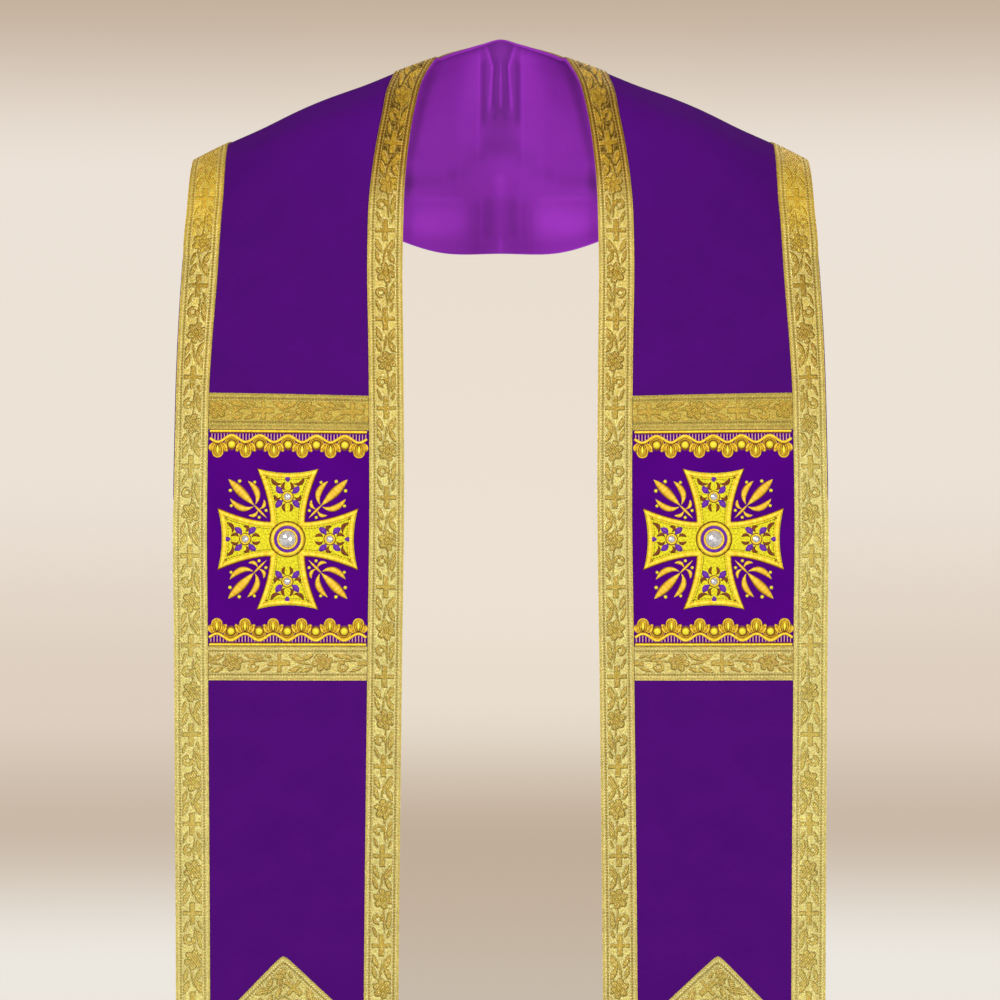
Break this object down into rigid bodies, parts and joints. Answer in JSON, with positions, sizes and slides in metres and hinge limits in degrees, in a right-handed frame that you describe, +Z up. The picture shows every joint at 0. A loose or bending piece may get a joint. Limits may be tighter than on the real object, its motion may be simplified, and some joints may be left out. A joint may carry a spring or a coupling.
{
  "type": "clergy stole",
  "caption": "Wide lined clergy stole held in its worn form, with galloon edges, embroidered chest panels, raised crosses, gables and plain hems.",
  "frame": {"origin": "midway between the two shoulders, level with the top of each shoulder at the neck edge", "axes": "+Z up, the front faces -Y, +X towards the wearer's left"},
  "size_m": [0.4592, 0.2133, 1.1677],
  "materials": {
    "cloth": "dark purple plain weave with a slight sheen",
    "lining": "bright purple satin",
    "galloon": "woven metallic gold braid",
    "panel": "matt saturated purple",
    "embroidery": "glossy gold satin stitch",
    "stone": "clear cut stone"
  },
  "bodies": {
    "root": {"cloth_left": "cloth", "cloth_right": "cloth", "lining_left": "lining", "lining_right": "lining", "galloon_neck_left": "galloon", "galloon_neck_right": "galloon", "galloon_outer_left": "galloon", "galloon_outer_right": "galloon", "band_upper_left": "galloon", "band_upper_right": "galloon", "band_lower_left": "galloon", "band_lower_right": "galloon", "gable_left": "galloon", "gable_right": "galloon", "panel_left": "panel", "panel_right": "panel", "border_upper_left": "embroidery", "border_upper_right": "embroidery", "border_lower_left": "embroidery", "border_lower_right": "embroidery", "cross_left": "embroidery", "cross_right": "embroidery", "stone_left": "stone", "stone_right": "stone"}
  },
  "joints": []
}
